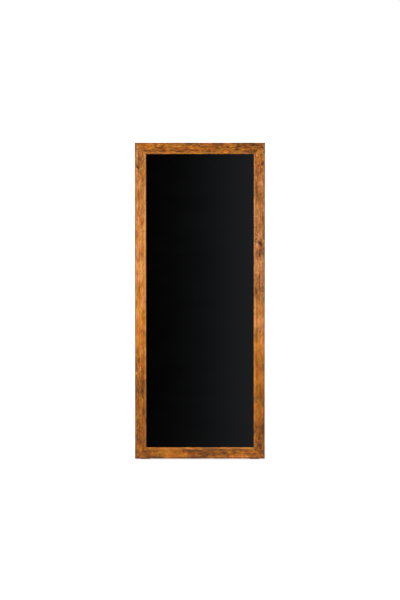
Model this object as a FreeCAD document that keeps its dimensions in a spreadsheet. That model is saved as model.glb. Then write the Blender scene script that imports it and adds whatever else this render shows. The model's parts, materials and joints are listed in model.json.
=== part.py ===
import FreeCAD, Part
import os

import Sketcher

# A free-standing menu chalkboard. A mitred wooden frame holds a black laminate panel and leans
# back on a wooden prop. Two butt hinges join the prop to a rail across the board's back, and a
# steel stay on each side stops it at the angle it stands at. The prop folds flat behind the board.
#
# Lengths are in millimetres and angles in degrees. X runs along the board's width, +Y runs from
# the writing side to the back, +Z is up. The origin is on the floor, in the middle of the
# footprint. Each piece is drawn in the frame of what carries it and then seated:
#   board  X across, Y into the board from its front face, Z up the board from its bottom edge
#   hinge  as the board, but measured from the axis of the hinges
#   prop   hangs down the -Z side of that axis
#   track  as the prop, turned so that -Z runs down the slot that the stay's pin slides in
#   stay   hangs down the -Z side of the stay's own pivot

DIMENSIONS = {
    "board_width": (560, "over the outside of the frame"),
    "board_height": (1360, "over the outside of the frame"),
    "rail_face": (48, "width of a frame member seen from the front"),
    "rail_depth": (22, "thickness of the frame"),
    "outer_round": (2.5, "radius of the frame's outer edges"),
    "inner_chamfer": (4, "bevel round the opening"),
    "lip_depth": (8, "wood in front of the panel"),
    "rebate_width": (10, "width of the step that holds the panel"),
    "panel_play": (2, "gap between the panel's edge and the rebate"),
    "laminate": (0.8, "thickness of each laminate sheet"),
    "core_depth": (5, "thickness of the fibreboard core"),
    "bead_width": (9, "width of the beads that hold the panel in"),
    "bead_chamfer": (2, "bevel on a bead's free edge"),
    "bead_pin_radius": (0.6, "radius of a panel pin"),
    "bead_pin_length": (16, "length of a panel pin"),
    "spline_thickness": (3, "thickness of the loose spline in each mitre"),
    "spline_depth": (13, "from the front face to a spline"),
    "spline_start": (12, "from the frame's corner to a spline, along the mitre"),
    "spline_length": (30, "length of a spline along the mitre"),
    "spline_reach": (9, "how far a spline goes into each member"),
    "glue_gap": (0.1, "play round splines, dowels and screws"),
    "brace_arm": (80, "length of a corner brace's arms"),
    "brace_width": (16, "width of a corner brace's arms"),
    "brace_inset": (12, "from the frame's edges to a corner brace"),
    "plate": (1.6, "thickness of braces, brackets and hinge leaves"),
    "lean_angle": (10, "how far the board leans back from upright"),
    "fold_angle": (20, "between the board and the prop when it stands"),
    "foot_lift": (1, "from the floor to the frame's lowest edge"),
    "front_foot_length": (40, "of a rubber wedge under the frame"),
    "front_foot_depth": (8, "of a rubber wedge, front to back"),
    "front_foot_back": (11, "from the front face to a wedge"),
    "front_foot_inset": (25, "from the frame's side to a wedge"),
    "rear_foot_height": (5, "thickness of the rubber under a leg"),
    "hinge_rail_length": (524, "of the rail across the board's back"),
    "hinge_rail_height": (50, "of that rail, up the board"),
    "hinge_rail_depth": (20, "thickness of that rail"),
    "hinge_rail_base": (1196, "from the board's bottom edge to that rail"),
    "hinge_gap": (3, "between that rail and the prop when folded"),
    "hinge_place": (150, "from the middle to a hinge's middle"),
    "hinge_length": (64, "of a hinge, along its pin"),
    "leaf_width": (24, "from the hinge's axis to a leaf's edge"),
    "leaf_round": (3, "radius of a leaf's free corners"),
    "knuckle_radius": (3.4, "outside of the knuckles"),
    "hinge_pin_radius": (1.6, "radius of the hinge pin"),
    "pin_play": (0.06, "between a pin and its knuckles, on the radius"),
    "knuckle_gap": (0.3, "between neighbouring knuckles"),
    "leg_gap": (484, "between the legs"),
    "leg_width": (32, "of a leg, across the easel"),
    "prop_depth": (18, "thickness of the prop's members"),
    "leg_round": (2, "radius of the legs' long edges"),
    "rail_round": (1.5, "radius of the prop rails' long edges"),
    "top_rail_height": (50, "of the prop's upper rail"),
    "cross_rail_height": (45, "of the prop's lower rail"),
    "cross_rail_depth": (12, "thickness of the prop's lower rail"),
    "cross_rail_drop": (900, "from the hinge axis to the lower rail"),
    "dowel_radius": (4, "radius of the dowels"),
    "dowel_length": (40, "half of it in each member"),
    "stay_drop": (320, "from the hinge axis down to a stay's pivot"),
    "stay_inset": (12.4, "from the hinge axis towards the board, to a stay's pivot"),
    "track_drop": (620, "from the hinge axis down to the middle of the slot"),
    "stay_width": (16, "of a stay bar"),
    "stay_thickness": (2.5, "of a stay bar"),
    "stay_gap": (0.3, "between a stay bar and its bracket"),
    "rivet_radius": (3, "radius of a stay's pivot rivet"),
    "rivet_head": (5.5, "radius of the rivet's heads"),
    "rivet_cap": (1.8, "thickness of the rivet's head"),
    "rivet_tail": (1.2, "thickness of the rivet's other head"),
    "rivet_slack": (0.2, "between a stay bar and the rivet's head"),
    "slide_pin_radius": (2.5, "radius of the pin in the slot"),
    "slide_pin_head": (4.2, "radius of the pin's heads"),
    "slot_play": (0.2, "between that pin and the slot's sides"),
    "track_plate": (2, "thickness of the slotted plate"),
    "track_width": (15, "width of the slotted plate"),
    "track_end": (30, "from the slot's end to the plate's end"),
    "groove_width": (9.6, "of the groove in the leg behind the slot"),
    "groove_depth": (4.5, "of that groove"),
    "washer_radius": (7, "outside of the nylon washer on the sliding pin"),
    "washer_thickness": (1.5, "of that washer"),
    "ear_height": (26, "of the bracket's ear"),
    "ear_reach": (8, "from the stay's pivot to the ear's edge"),
    "flange_width": (30, "of the bracket's flange"),
    "flange_height": (34, "of the bracket's flange"),
}

# Screws: length, radius of the head, radius of the shank.
RAIL_SCREW = (34, 4.0, 2.0)
PLATE_SCREW = (14, 3.0, 1.5)
FOOT_SCREW = (25, 3.5, 1.75)

# Places worked out from the dimensions, as expressions.
HALF_WIDTH = "(dims.board_width / 2)"
OPENING_X = "(dims.board_width / 2 - dims.rail_face)"
OPENING_TOP = "(dims.board_height - dims.rail_face)"
PANEL_BACK = "(dims.lip_depth + dims.core_depth + 2 * dims.laminate)"
PROP_LEAN = "(dims.fold_angle - dims.lean_angle)"
HINGE_IN = "(dims.rail_depth + dims.hinge_rail_depth + dims.knuckle_radius)"
HINGE_UP = "(dims.hinge_rail_base - dims.hinge_gap / 2)"
BOARD_Z = "(dims.rail_depth * sin(dims.lean_angle) + dims.foot_lift)"
AXIS_Z = f"({BOARD_Z} - {HINGE_IN} * sin(dims.lean_angle) + {HINGE_UP} * cos(dims.lean_angle))"
AXIS_AHEAD = f"({HINGE_IN} * cos(dims.lean_angle) + {HINGE_UP} * sin(dims.lean_angle))"
# The footprint runs from the frame's rounded front edge to the back of the rear feet.
FRONT_EDGE = "(dims.outer_round * (cos(dims.lean_angle) + sin(dims.lean_angle) - 1))"
REAR_EDGE = f"({AXIS_AHEAD} + {AXIS_Z} * tan({PROP_LEAN}) - dims.knuckle_radius / cos({PROP_LEAN}))"
BOARD_Y = f"(-({FRONT_EDGE} + {REAR_EDGE}) / 2)"
AXIS_Y = f"({BOARD_Y} + {AXIS_AHEAD})"
PROP_BACK = "(-dims.knuckle_radius)"
PROP_FRONT = "(-dims.knuckle_radius - dims.prop_depth)"
PROP_MIDDLE = "(-dims.knuckle_radius - dims.prop_depth / 2)"

# The stay is as long as its pivot is far from the hinge axis, so hinge, pivot and sliding pin
# make an isosceles triangle: the stay turns exactly twice as far as the prop, and its pin stays
# on a straight slot that points at the hinge axis.
PIVOT_TILT = "(atan(dims.stay_inset / dims.stay_drop) / 1 deg)"
TRACK_TILT = "(atan(dims.stay_inset / dims.track_drop) / 1 deg)"
STAY_REACH = "sqrt(dims.stay_drop * dims.stay_drop + dims.stay_inset * dims.stay_inset)"
SPREAD = f"(dims.fold_angle + {PIVOT_TILT} - {TRACK_TILT})"
PIN_OPEN = f"(2 * {STAY_REACH} * cos({SPREAD}))"
PIN_FOLDED = f"(2 * {STAY_REACH} * cos({PIVOT_TILT} - {TRACK_TILT}))"
PIVOT_IN = f"({HINGE_IN} - dims.stay_inset)"
PIVOT_UP = f"({HINGE_UP} - dims.stay_drop)"
PIVOT_Y = f"({BOARD_Y} + {PIVOT_IN} * cos(dims.lean_angle) + {PIVOT_UP} * sin(dims.lean_angle))"
PIVOT_Z = f"({BOARD_Z} - {PIVOT_IN} * sin(dims.lean_angle) + {PIVOT_UP} * cos(dims.lean_angle))"
# Layers from the leg inwards: slotted plate, and beside it the bracket's ear, then the stay bar.
LEG_IN = "(dims.leg_gap / 2)"
TRACK_IN = f"({LEG_IN} - dims.track_plate)"
EAR_IN = f"({TRACK_IN} - dims.plate)"
STAY_OUT = f"({EAR_IN} - dims.stay_gap)"
STAY_IN = f"({STAY_OUT} - dims.stay_thickness)"

FRAMES = {
    "board": ("-dims.lean_angle", BOARD_Y, BOARD_Z),
    "hinge": ("-dims.lean_angle", AXIS_Y, AXIS_Z),
    "prop": (PROP_LEAN, AXIS_Y, AXIS_Z),
    "track": (f"{PROP_LEAN} - {TRACK_TILT}", AXIS_Y, AXIS_Z),
    "stay": (f"2 * {SPREAD} - {PIVOT_TILT} - dims.lean_angle", PIVOT_Y, PIVOT_Z),
}
SIDES = {"left": -1, "right": 1}
UP = FreeCAD.Vector(0, 0, 1)
BACK = FreeCAD.Vector(0, 1, 0)
ACROSS = FreeCAD.Vector(1, 0, 0)

doc = FreeCAD.newDocument("menu_chalkboard_easel")
sheet = doc.addObject("Spreadsheet::Sheet", "dims")
nodes = []


def fill_sheet():
    for row, (alias, (value, meaning)) in enumerate(DIMENSIONS.items(), start=1):
        sheet.set(f"A{row}", alias)
        sheet.set(f"B{row}", str(value))
        sheet.setAlias(f"B{row}", alias)
        sheet.set(f"C{row}", meaning)
    doc.recompute()


def measure(expression):
    """The number that an expression on the sheet comes to."""
    return float(sheet.evalExpression(expression.replace("dims.", "")))


# ---- Sketches and features ----


def new_body(label):
    body = doc.addObject("PartDesign::Body", label)
    body.Label = label
    return body


def new_sketch(body, role, offset="0"):
    """A sketch on one of the body's origin planes, moved off it along its normal."""
    sketch = body.newObject("Sketcher::SketchObject", "sketch")
    planes = body.Origin.OriginFeatures
    sketch.AttachmentSupport = [(next(p for p in planes if p.Role == role), "")]
    sketch.MapMode = "FlatFace"
    sketch.setExpression("AttachmentOffset.Base.z", offset)
    return sketch


def hold(sketch, geometry, point, place):
    """Ties a point of the sketch to a pair of expressions."""
    for kind, expression in zip(("DistanceX", "DistanceY"), place):
        number = measure(expression)
        index = sketch.addConstraint(Sketcher.Constraint(kind, -1, 1, geometry, point, number))
        sketch.setExpression(f"Constraints[{index}]", expression)


def draw_outline(sketch, corners):
    """A closed loop of straight sides through the corners."""
    first = sketch.GeometryCount
    points = [FreeCAD.Vector(measure(x), measure(y), 0) for x, y in corners]
    count = len(points)
    for i in range(count):
        sketch.addGeometry(Part.LineSegment(points[i], points[(i + 1) % count]), False)
    for i in range(count):
        after = first + (i + 1) % count
        sketch.addConstraint(Sketcher.Constraint("Coincident", first + i, 2, after, 1))
    for i, corner in enumerate(corners):
        hold(sketch, first + i, 1, corner)


def draw_circle(sketch, centre, radius):
    middle = FreeCAD.Vector(measure(centre[0]), measure(centre[1]), 0)
    number = sketch.addGeometry(Part.Circle(middle, UP, measure(radius)), False)
    hold(sketch, number, 3, centre)
    index = sketch.addConstraint(Sketcher.Constraint("Radius", number, measure(radius)))
    sketch.setExpression(f"Constraints[{index}]", radius)


def rectangle(x0, x1, y0, y1):
    return [(x0, y0), (x1, y0), (x1, y1), (x0, y1)]


def pad(body, sketch, length, reverse=False):
    feature = body.newObject("PartDesign::Pad", "pad")
    feature.Profile = sketch
    feature.setExpression("Length", length)
    feature.Reversed = reverse
    doc.recompute()
    return feature


def pocket(body, sketch, length=None, reverse=False):
    """Cuts the sketch out of the body: to a length, or right through both ways if it is None."""
    before = body.Shape.Volume
    feature = body.newObject("PartDesign::Pocket", "pocket")
    feature.Profile = sketch
    feature.Reversed = reverse
    if length is None:
        feature.SideType = "Symmetric"
        feature.Type = "ThroughAll"
    else:
        feature.setExpression("Length", length)
    doc.recompute()
    if body.Shape.Volume > before - 0.1:
        raise RuntimeError(f"{body.Label}: a pocket cut nothing")
    return feature


def edges_where(shape, test):
    """Names of the straight edges whose middle and direction pass the test."""
    names = []
    for number, edge in enumerate(shape.Edges, start=1):
        start, end = edge.firstVertex().Point, edge.lastVertex().Point
        if test((start + end) / 2, (end - start).normalize()):
            names.append(f"Edge{number}")
    return names


def dress(body, kind, size, test):
    """A fillet or chamfer on the body's edges that pass the test."""
    tip = body.Tip
    feature = body.newObject(f"PartDesign::{kind}", kind.lower())
    feature.Base = (tip, edges_where(tip.Shape, test))
    feature.setExpression("Radius" if kind == "Fillet" else "Size", size)
    doc.recompute()


def turned(body, centre, steps):
    """Round steps along X on one axis; each step is where it starts, where it ends, its radius."""
    for start, end, radius in steps:
        sketch = new_sketch(body, "YZ_Plane", start)
        draw_circle(sketch, centre, radius)
        pad(body, sketch, f"{end} - {start}")


def mirrored(steps, sign):
    """Steps along X for the right side, turned round for the left side."""
    if sign > 0:
        return steps
    return [(f"-{end}", f"-{start}", radius) for start, end, radius in steps]


# ---- Seating and drilling ----


def seat(item, frame):
    turn, y, z = FRAMES[frame]
    place = FreeCAD.Vector(0, measure(y), measure(z))
    item.Placement = FreeCAD.Placement(place, FreeCAD.Rotation(ACROSS, measure(turn)))
    item.setExpression("Placement.Rotation.Angle", turn)
    item.setExpression("Placement.Base.y", y)
    item.setExpression("Placement.Base.z", z)


def add_node(label, item, frame, *cutters):
    """Drills the piece with the cutters, seats it in its frame and lists it as a node."""
    if cutters:
        item.Label = f"{label}_blank"
        tools = doc.addObject("Part::Compound", f"{label}_cutters")
        tools.Links = list(cutters)
        drilled = doc.addObject("Part::Cut", label)
        drilled.Base = item
        drilled.Tool = tools
        item = drilled
    item.Label = label
    seat(item, frame)
    nodes.append(item)
    return item


def feature_of(label, shapes):
    item = doc.addObject("Part::Feature", label)
    item.Label = label
    item.Shape = Part.makeCompound(shapes)
    return item


def placed(shape, point, facing):
    """A copy of a shape that stands along Z, moved to a point with its top facing a direction."""
    copy = shape.copy()
    copy.Placement = FreeCAD.Placement(FreeCAD.Vector(*point), FreeCAD.Rotation(UP, facing))
    return copy


def revolved(profile):
    """The solid that a profile of (radius, height) points makes about Z."""
    points = [FreeCAD.Vector(r, 0, h) for r, h in profile]
    face = Part.Face(Part.makePolygon(points + points[:1]))
    return face.revolve(FreeCAD.Vector(0, 0, 0), UP, 360)


def screw_profile(size, grow):
    """Half the outline of a countersunk wood screw with its head's face at height 0."""
    length, head, shank = size
    rim = 0.2
    neck = rim + head - shank
    point = length - 2 * shank
    outline = [(0, 0), (head + grow, 0), (head + grow, -rim), (shank + grow, -neck)]
    return outline + [(shank + grow, -point - grow), (0, -length - 2 * grow)]


def screw(size):
    """A countersunk wood screw with a cross recess."""
    length, head, shank = size
    solid = revolved(screw_profile(size, 0))
    slot_long, slot_wide, slot_deep = 0.95 * head, 0.28 * head, 0.4 * head
    corner = FreeCAD.Vector(-slot_long / 2, -slot_wide / 2, -slot_deep)
    slot = Part.makeBox(slot_long, slot_wide, 2 * slot_deep, corner)
    other = slot.copy()
    other.rotate(FreeCAD.Vector(0, 0, 0), UP, 90)
    return solid.cut(slot).cut(other)


def screw_hole(size):
    """The room that a screw needs, carried up past its head so that it cuts a clean mouth."""
    grow = measure("dims.glue_gap")
    mouth = 6
    outline = screw_profile(size, grow)
    outline[0] = (0, mouth)
    outline[1] = (size[1] + grow, mouth)
    return revolved(outline)


def screw_group(label, frame, size, seats):
    """A node of identical screws, and the cutter for their holes."""
    body, hole = screw(size), screw_hole(size)
    group = feature_of(label, [placed(body, point, facing) for point, facing in seats])
    add_node(label, group, frame)
    return feature_of(f"{label}_holes", [placed(hole, point, facing) for point, facing in seats])


def rod_group(label, frame, radius, length, seats):
    """A node of identical rods, each centred on its point, and the cutter for their holes."""
    grow = measure("dims.glue_gap")
    rod = revolved([(0, -length / 2), (radius, -length / 2), (radius, length / 2), (0, length / 2)])
    end = length / 2 + grow
    hole = revolved([(0, -end), (radius + grow, -end), (radius + grow, end), (0, end)])
    group = feature_of(label, [placed(rod, point, facing) for point, facing in seats])
    add_node(label, group, frame)
    return feature_of(f"{label}_holes", [placed(hole, point, facing) for point, facing in seats])


# ---- Fasteners, with the cutters that make room for them ----


def corner_points():
    """For each corner of the board: its name, its X and Z signs, and the height of its edge."""
    height = measure("dims.board_height")
    for end, up, edge in (("top", -1, height), ("bottom", 1, 0)):
        for side, sign in SIDES.items():
            yield f"{end}_{side}", sign, up, edge


def make_brace_screws():
    """Four to a brace, along the middle of its arms."""
    edge = measure("dims.brace_inset + dims.brace_width / 2")
    face = measure("dims.rail_depth + dims.plate")
    near, far = measure("dims.brace_inset + 0.33 * dims.brace_arm"), measure("dims.brace_arm")
    seats = []
    for _, sign, up, height in corner_points():
        for a, b in ((edge, near), (edge, far), (near, edge), (far, edge)):
            x = sign * (measure(HALF_WIDTH) - a)
            seats.append(((x, face, height + up * b), BACK))
    return screw_group("brace_screws", "board", PLATE_SCREW, seats)


def make_hinge_rail_screws():
    x = measure("dims.board_width / 2 - 30")
    face = measure("dims.rail_depth + dims.hinge_rail_depth")
    base, height = measure("dims.hinge_rail_base"), measure("dims.hinge_rail_height")
    rows = [base + share * height for share in (0.25, 0.75)]
    seats = [((sign * x, face, z), BACK) for sign in SIDES.values() for z in rows]
    return screw_group("hinge_rail_screws", "board", RAIL_SCREW, seats)


def make_leaf_screws(label, frame, up):
    """Three to a leaf, the middle one nearer the leaf's edge."""
    face = measure("dims.plate - dims.knuckle_radius")
    middle, spread = measure("dims.hinge_place"), measure("dims.hinge_length * 0.34")
    near, far = measure("dims.leaf_width * 0.5"), measure("dims.leaf_width * 0.72")
    seats = []
    for sign in SIDES.values():
        for step, z in ((-spread, near), (0, far), (spread, near)):
            seats.append(((sign * middle + step, face, up * z), BACK))
    return screw_group(label, frame, PLATE_SCREW, seats)


def make_bracket_screws():
    face = measure("dims.rail_depth + dims.plate")
    x = measure(f"{EAR_IN} + dims.flange_width * 0.62")
    z = measure(PIVOT_UP)
    step = measure("dims.flange_height * 0.27")
    seats = [((s * x, face, z + d), BACK) for s in SIDES.values() for d in (-step, step)]
    return screw_group("bracket_screws", "board", PLATE_SCREW, seats)


def make_track_screws():
    x = measure(TRACK_IN)
    ends = (measure(f"{PIN_OPEN} - dims.track_end * 0.6"), measure(f"{PIN_FOLDED} + dims.track_end * 0.6"))
    seats = [((s * x, 0, -end), ACROSS * -s) for s in SIDES.values() for end in ends]
    return screw_group("track_screws", "track", PLATE_SCREW, seats)


def make_rear_foot_screws():
    """One up into the end of each leg, its head sunk in the rubber."""
    x = measure(f"{LEG_IN} + dims.leg_width / 2")
    z = measure(floor_drop("dims.rear_foot_height * 0.45", PROP_MIDDLE))
    seats = [((s * x, measure(PROP_MIDDLE), z), -UP) for s in SIDES.values()]
    return screw_group("rear_foot_screws", "prop", FOOT_SCREW, seats)


def make_bead_pins():
    """Panel pins driven sideways through the beads into the frame."""
    into = measure(f"({PANEL_BACK} + dims.rail_depth) / 2")
    reach = measure("dims.bead_pin_length") / 2 - measure("dims.bead_width")
    side_x = measure(f"{OPENING_X} + dims.rebate_width") + reach
    low = measure("dims.rail_face - dims.rebate_width") - reach
    high = measure(f"{OPENING_TOP} + dims.rebate_width") + reach
    height = measure("dims.board_height")
    seats = []
    for share in (0.1, 0.26, 0.42, 0.58, 0.74, 0.9):
        seats += [((sign * side_x, into, share * height), ACROSS) for sign in SIDES.values()]
    for x in (-0.32, 0, 0.32):
        seats += [((x * measure("dims.board_width"), into, z), UP) for z in (low, high)]
    radius, length = measure("dims.bead_pin_radius"), measure("dims.bead_pin_length")
    return rod_group("bead_pins", "board", radius, length, seats)


def make_dowels():
    """Two in each end of the prop's rails."""
    x, y = measure(LEG_IN), measure(PROP_MIDDLE)
    top = measure("dims.hinge_gap / 2 + dims.top_rail_height / 2")
    low = measure("dims.cross_rail_drop + dims.cross_rail_height / 2")
    rows = [middle + step for middle in (top, low) for step in (-11, 11)]
    seats = [((s * x, y, -z), ACROSS) for s in SIDES.values() for z in rows]
    radius, length = measure("dims.dowel_radius"), measure("dims.dowel_length")
    return rod_group("prop_dowels", "prop", radius, length, seats)


# ---- The board ----


def mitre_slot(sign, up, edge, grow):
    """The outline of a spline lying across the mitre at one corner, a little larger by grow."""
    near, far = f"(dims.spline_start - {grow})", f"(dims.spline_start + dims.spline_length + {grow})"
    reach = f"(dims.spline_reach + {grow})"
    corners = []
    for along, across in ((near, "-"), (far, "-"), (far, "+"), (near, "+")):
        other = "+" if across == "-" else "-"
        x = f"{sign} * ({HALF_WIDTH} - ({along} {across} {reach}) / sqrt(2))"
        z = f"{edge} + {up} * ({along} {other} {reach}) / sqrt(2)"
        corners.append((x, z))
    return corners


def cut_mitre_slots(body, ends):
    sketch = new_sketch(body, "XZ_Plane", "-dims.spline_depth + dims.glue_gap / 2")
    for sign, up, edge in ends:
        draw_outline(sketch, mitre_slot(sign, up, edge, "dims.glue_gap"))
    pocket(body, sketch, "dims.spline_thickness + dims.glue_gap")


def make_frame_rail(label, up, edge, cutters):
    """The top or bottom member, mitred at both ends and rebated for the panel."""
    body = new_body(label)
    inner = f"({edge} + {up} * dims.rail_face)"
    sketch = new_sketch(body, "XZ_Plane")
    half = (HALF_WIDTH, OPENING_X)
    draw_outline(sketch, [(f"-{half[0]}", edge), (half[0], edge), (half[1], inner), (f"-{half[1]}", inner)])
    pad(body, sketch, "dims.rail_depth", reverse=True)
    sketch = new_sketch(body, "YZ_Plane")
    step = f"({inner} - {up} * dims.rebate_width)"
    draw_outline(sketch, rectangle("dims.lip_depth", "dims.rail_depth", step, inner))
    pocket(body, sketch)
    outer_z, inner_z = measure(edge), measure(inner)
    dress(body, "Chamfer", "dims.inner_chamfer", lambda m, d: abs(m.y) < 0.01 and abs(m.z - inner_z) < 0.01)
    dress(body, "Fillet", "dims.outer_round", lambda m, d: abs(d.x) > 0.9 and abs(m.z - outer_z) < 0.01)
    cut_mitre_slots(body, [(sign, up, edge) for sign in SIDES.values()])
    add_node(label, body, "board", *cutters)


def make_stile(label, sign, cutters):
    """A side member, mitred at both ends and rebated for the panel."""
    body = new_body(label)
    outer, inner = f"({sign} * {HALF_WIDTH})", f"({sign} * {OPENING_X})"
    sketch = new_sketch(body, "XZ_Plane")
    corners = [(outer, "0"), (inner, "dims.rail_face"), (inner, OPENING_TOP), (outer, "dims.board_height")]
    draw_outline(sketch, corners)
    pad(body, sketch, "dims.rail_depth", reverse=True)
    sketch = new_sketch(body, "XY_Plane")
    step = f"({inner} + {sign} * dims.rebate_width)"
    draw_outline(sketch, rectangle(inner, step, "dims.lip_depth", "dims.rail_depth"))
    pocket(body, sketch)
    outer_x, inner_x = measure(outer), measure(inner)
    dress(body, "Chamfer", "dims.inner_chamfer", lambda m, d: abs(m.y) < 0.01 and abs(m.x - inner_x) < 0.01)
    dress(body, "Fillet", "dims.outer_round", lambda m, d: abs(d.z) > 0.9 and abs(m.x - outer_x) < 0.01)
    cut_mitre_slots(body, [(sign, 1, "0"), (sign, -1, "dims.board_height")])
    add_node(label, body, "board", *cutters)


def make_splines():
    """Four loose splines glued into the mitres."""
    body = new_body("mitre_splines")
    sketch = new_sketch(body, "XZ_Plane", "-dims.spline_depth")
    for _, sign, up, height in corner_points():
        draw_outline(sketch, mitre_slot(sign, up, str(height), "0"))
    pad(body, sketch, "dims.spline_thickness", reverse=True)
    add_node("mitre_splines", body, "board")


def make_sheet_of_panel(label, front, thickness):
    """One layer of the panel: the writing laminate, the core or the backing laminate."""
    body = new_body(label)
    side = f"({OPENING_X} + dims.rebate_width - dims.panel_play)"
    low = "(dims.rail_face - dims.rebate_width + dims.panel_play)"
    sketch = new_sketch(body, "XZ_Plane", f"-{front}")
    draw_outline(sketch, rectangle(f"-{side}", side, low, f"(dims.board_height - {low})"))
    pad(body, sketch, thickness, reverse=True)
    add_node(label, body, "board")


def make_bead(label, x_span, z_span, inner_edge, pins):
    """A bead that lies in the rebate behind the panel; its free edge is bevelled at the back."""
    body = new_body(label)
    sketch = new_sketch(body, "XZ_Plane", f"-{PANEL_BACK}")
    draw_outline(sketch, rectangle(*x_span, *z_span))
    pad(body, sketch, f"dims.rail_depth - {PANEL_BACK}", reverse=True)
    axis, place = inner_edge
    edge, back = measure(place), measure("dims.rail_depth")
    test = lambda m, d: abs(m.y - back) < 0.01 and abs(getattr(m, axis) - edge) < 0.01
    dress(body, "Chamfer", "dims.bead_chamfer", test)
    add_node(label, body, "board", pins)


def make_beads(pins):
    wall = f"({OPENING_X} + dims.rebate_width)"
    free = f"({wall} - dims.bead_width)"
    low_wall = "(dims.rail_face - dims.rebate_width)"
    low_free = f"({low_wall} + dims.bead_width)"
    for side, sign in SIDES.items():
        x_span = (f"{sign} * {free}", f"{sign} * {wall}")
        z_span = (low_free, f"(dims.board_height - {low_free})")
        make_bead(f"{side}_bead", x_span, z_span, ("x", f"{sign} * {free}"), pins)
    for label, wall_z, free_z in (
        ("bottom_bead", low_wall, low_free),
        ("top_bead", f"(dims.board_height - {low_wall})", f"(dims.board_height - {low_free})"),
    ):
        make_bead(label, (f"-{wall}", wall), (wall_z, free_z), ("z", free_z), pins)


def make_brace(label, sign, up, edge, screws):
    """A flat L of steel screwed over a mitre at the back."""
    body = new_body(label)
    near, wide = "dims.brace_inset", "(dims.brace_inset + dims.brace_width)"
    far = "(dims.brace_inset + dims.brace_arm)"
    spots = [(near, near), (far, near), (far, wide), (wide, wide), (wide, far), (near, far)]
    corners = [(f"{sign} * ({HALF_WIDTH} - {a})", f"{edge} + {up} * {b}") for a, b in spots]
    sketch = new_sketch(body, "XZ_Plane", "-dims.rail_depth")
    draw_outline(sketch, corners)
    pad(body, sketch, "dims.plate", reverse=True)
    end_x = measure(f"{sign} * ({HALF_WIDTH} - {far})")
    end_z = measure(f"{edge} + {up} * {far}")
    test = lambda m, d: abs(d.y) > 0.9 and (abs(m.x - end_x) < 0.01 or abs(m.z - end_z) < 0.01)
    dress(body, "Fillet", "dims.leaf_round", test)
    add_node(label, body, "board", screws)


def make_front_foot(label, sign):
    """A rubber wedge glued under the frame, with its lower face level with the floor."""
    body = new_body(label)
    front, back = "dims.front_foot_back", "(dims.front_foot_back + dims.front_foot_depth)"
    drop = f"({BOARD_Z} / cos(dims.lean_angle))"
    rise = "tan(dims.lean_angle)"
    corners = [(front, "0"), (back, "0"), (back, f"{back} * {rise} - {drop}")]
    corners.append((front, f"{front} * {rise} - {drop}"))
    offset = f"{sign} * ({HALF_WIDTH} - dims.front_foot_inset)"
    sketch = new_sketch(body, "YZ_Plane", offset)
    draw_outline(sketch, corners)
    pad(body, sketch, "dims.front_foot_length", reverse=sign > 0)
    add_node(label, body, "board")


def make_hinge_rail(cutters):
    """The rail across the back that carries the prop's hinges."""
    body = new_body("hinge_rail")
    base, top = "dims.hinge_rail_base", "(dims.hinge_rail_base + dims.hinge_rail_height)"
    sketch = new_sketch(body, "XZ_Plane", "-dims.rail_depth")
    draw_outline(sketch, rectangle("-dims.hinge_rail_length / 2", "dims.hinge_rail_length / 2", base, top))
    pad(body, sketch, "dims.hinge_rail_depth", reverse=True)
    back, top_z = measure("dims.rail_depth + dims.hinge_rail_depth"), measure(top)
    side = measure("dims.hinge_rail_length / 2")
    test = lambda m, d: abs(m.y - back) < 0.01 and (abs(m.z - top_z) < 0.01 or abs(abs(m.x) - side) < 0.01)
    dress(body, "Fillet", "dims.leg_round", test)
    add_node("hinge_rail", body, "board", *cutters)


def make_bracket(label, sign, screws):
    """An angle of steel: its flange lies on the stile and its ear carries the stay's pivot."""
    body = new_body(label)
    inside, outside = f"{sign} * {EAR_IN}", f"{sign} * ({EAR_IN} + dims.flange_width)"
    low, high = f"({PIVOT_UP} - dims.flange_height / 2)", f"({PIVOT_UP} + dims.flange_height / 2)"
    sketch = new_sketch(body, "XZ_Plane", "-dims.rail_depth")
    draw_outline(sketch, rectangle(inside, outside, low, high))
    pad(body, sketch, "dims.plate", reverse=True)
    low, high = f"({PIVOT_UP} - dims.ear_height / 2)", f"({PIVOT_UP} + dims.ear_height / 2)"
    sketch = new_sketch(body, "YZ_Plane", inside)
    draw_outline(sketch, rectangle("dims.rail_depth", f"({PIVOT_IN} + dims.ear_reach)", low, high))
    pad(body, sketch, "dims.plate", reverse=sign < 0)
    tip = measure(f"{PIVOT_IN} + dims.ear_reach")
    dress(body, "Fillet", "dims.ear_reach", lambda m, d: abs(d.x) > 0.9 and abs(m.y - tip) < 0.01)
    sketch = new_sketch(body, "YZ_Plane", "0")
    draw_circle(sketch, (PIVOT_IN, PIVOT_UP), "(dims.rivet_radius + dims.pin_play)")
    pocket(body, sketch)
    add_node(label, body, "board", screws)


def make_rivet(label, sign):
    """The rivet that a stay turns on, headed over both the stay and the bracket's ear."""
    body = new_body(label)
    neck = f"({STAY_IN} - dims.rivet_slack)"
    steps = [
        (f"({neck} - dims.rivet_cap)", neck, "dims.rivet_head"),
        (neck, TRACK_IN, "dims.rivet_radius"),
        (TRACK_IN, f"({TRACK_IN} + dims.rivet_tail)", "dims.rivet_head - 0.5"),
    ]
    turned(body, (PIVOT_IN, PIVOT_UP), mirrored(steps, sign))
    add_node(label, body, "board")


# ---- The hinges ----


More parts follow.
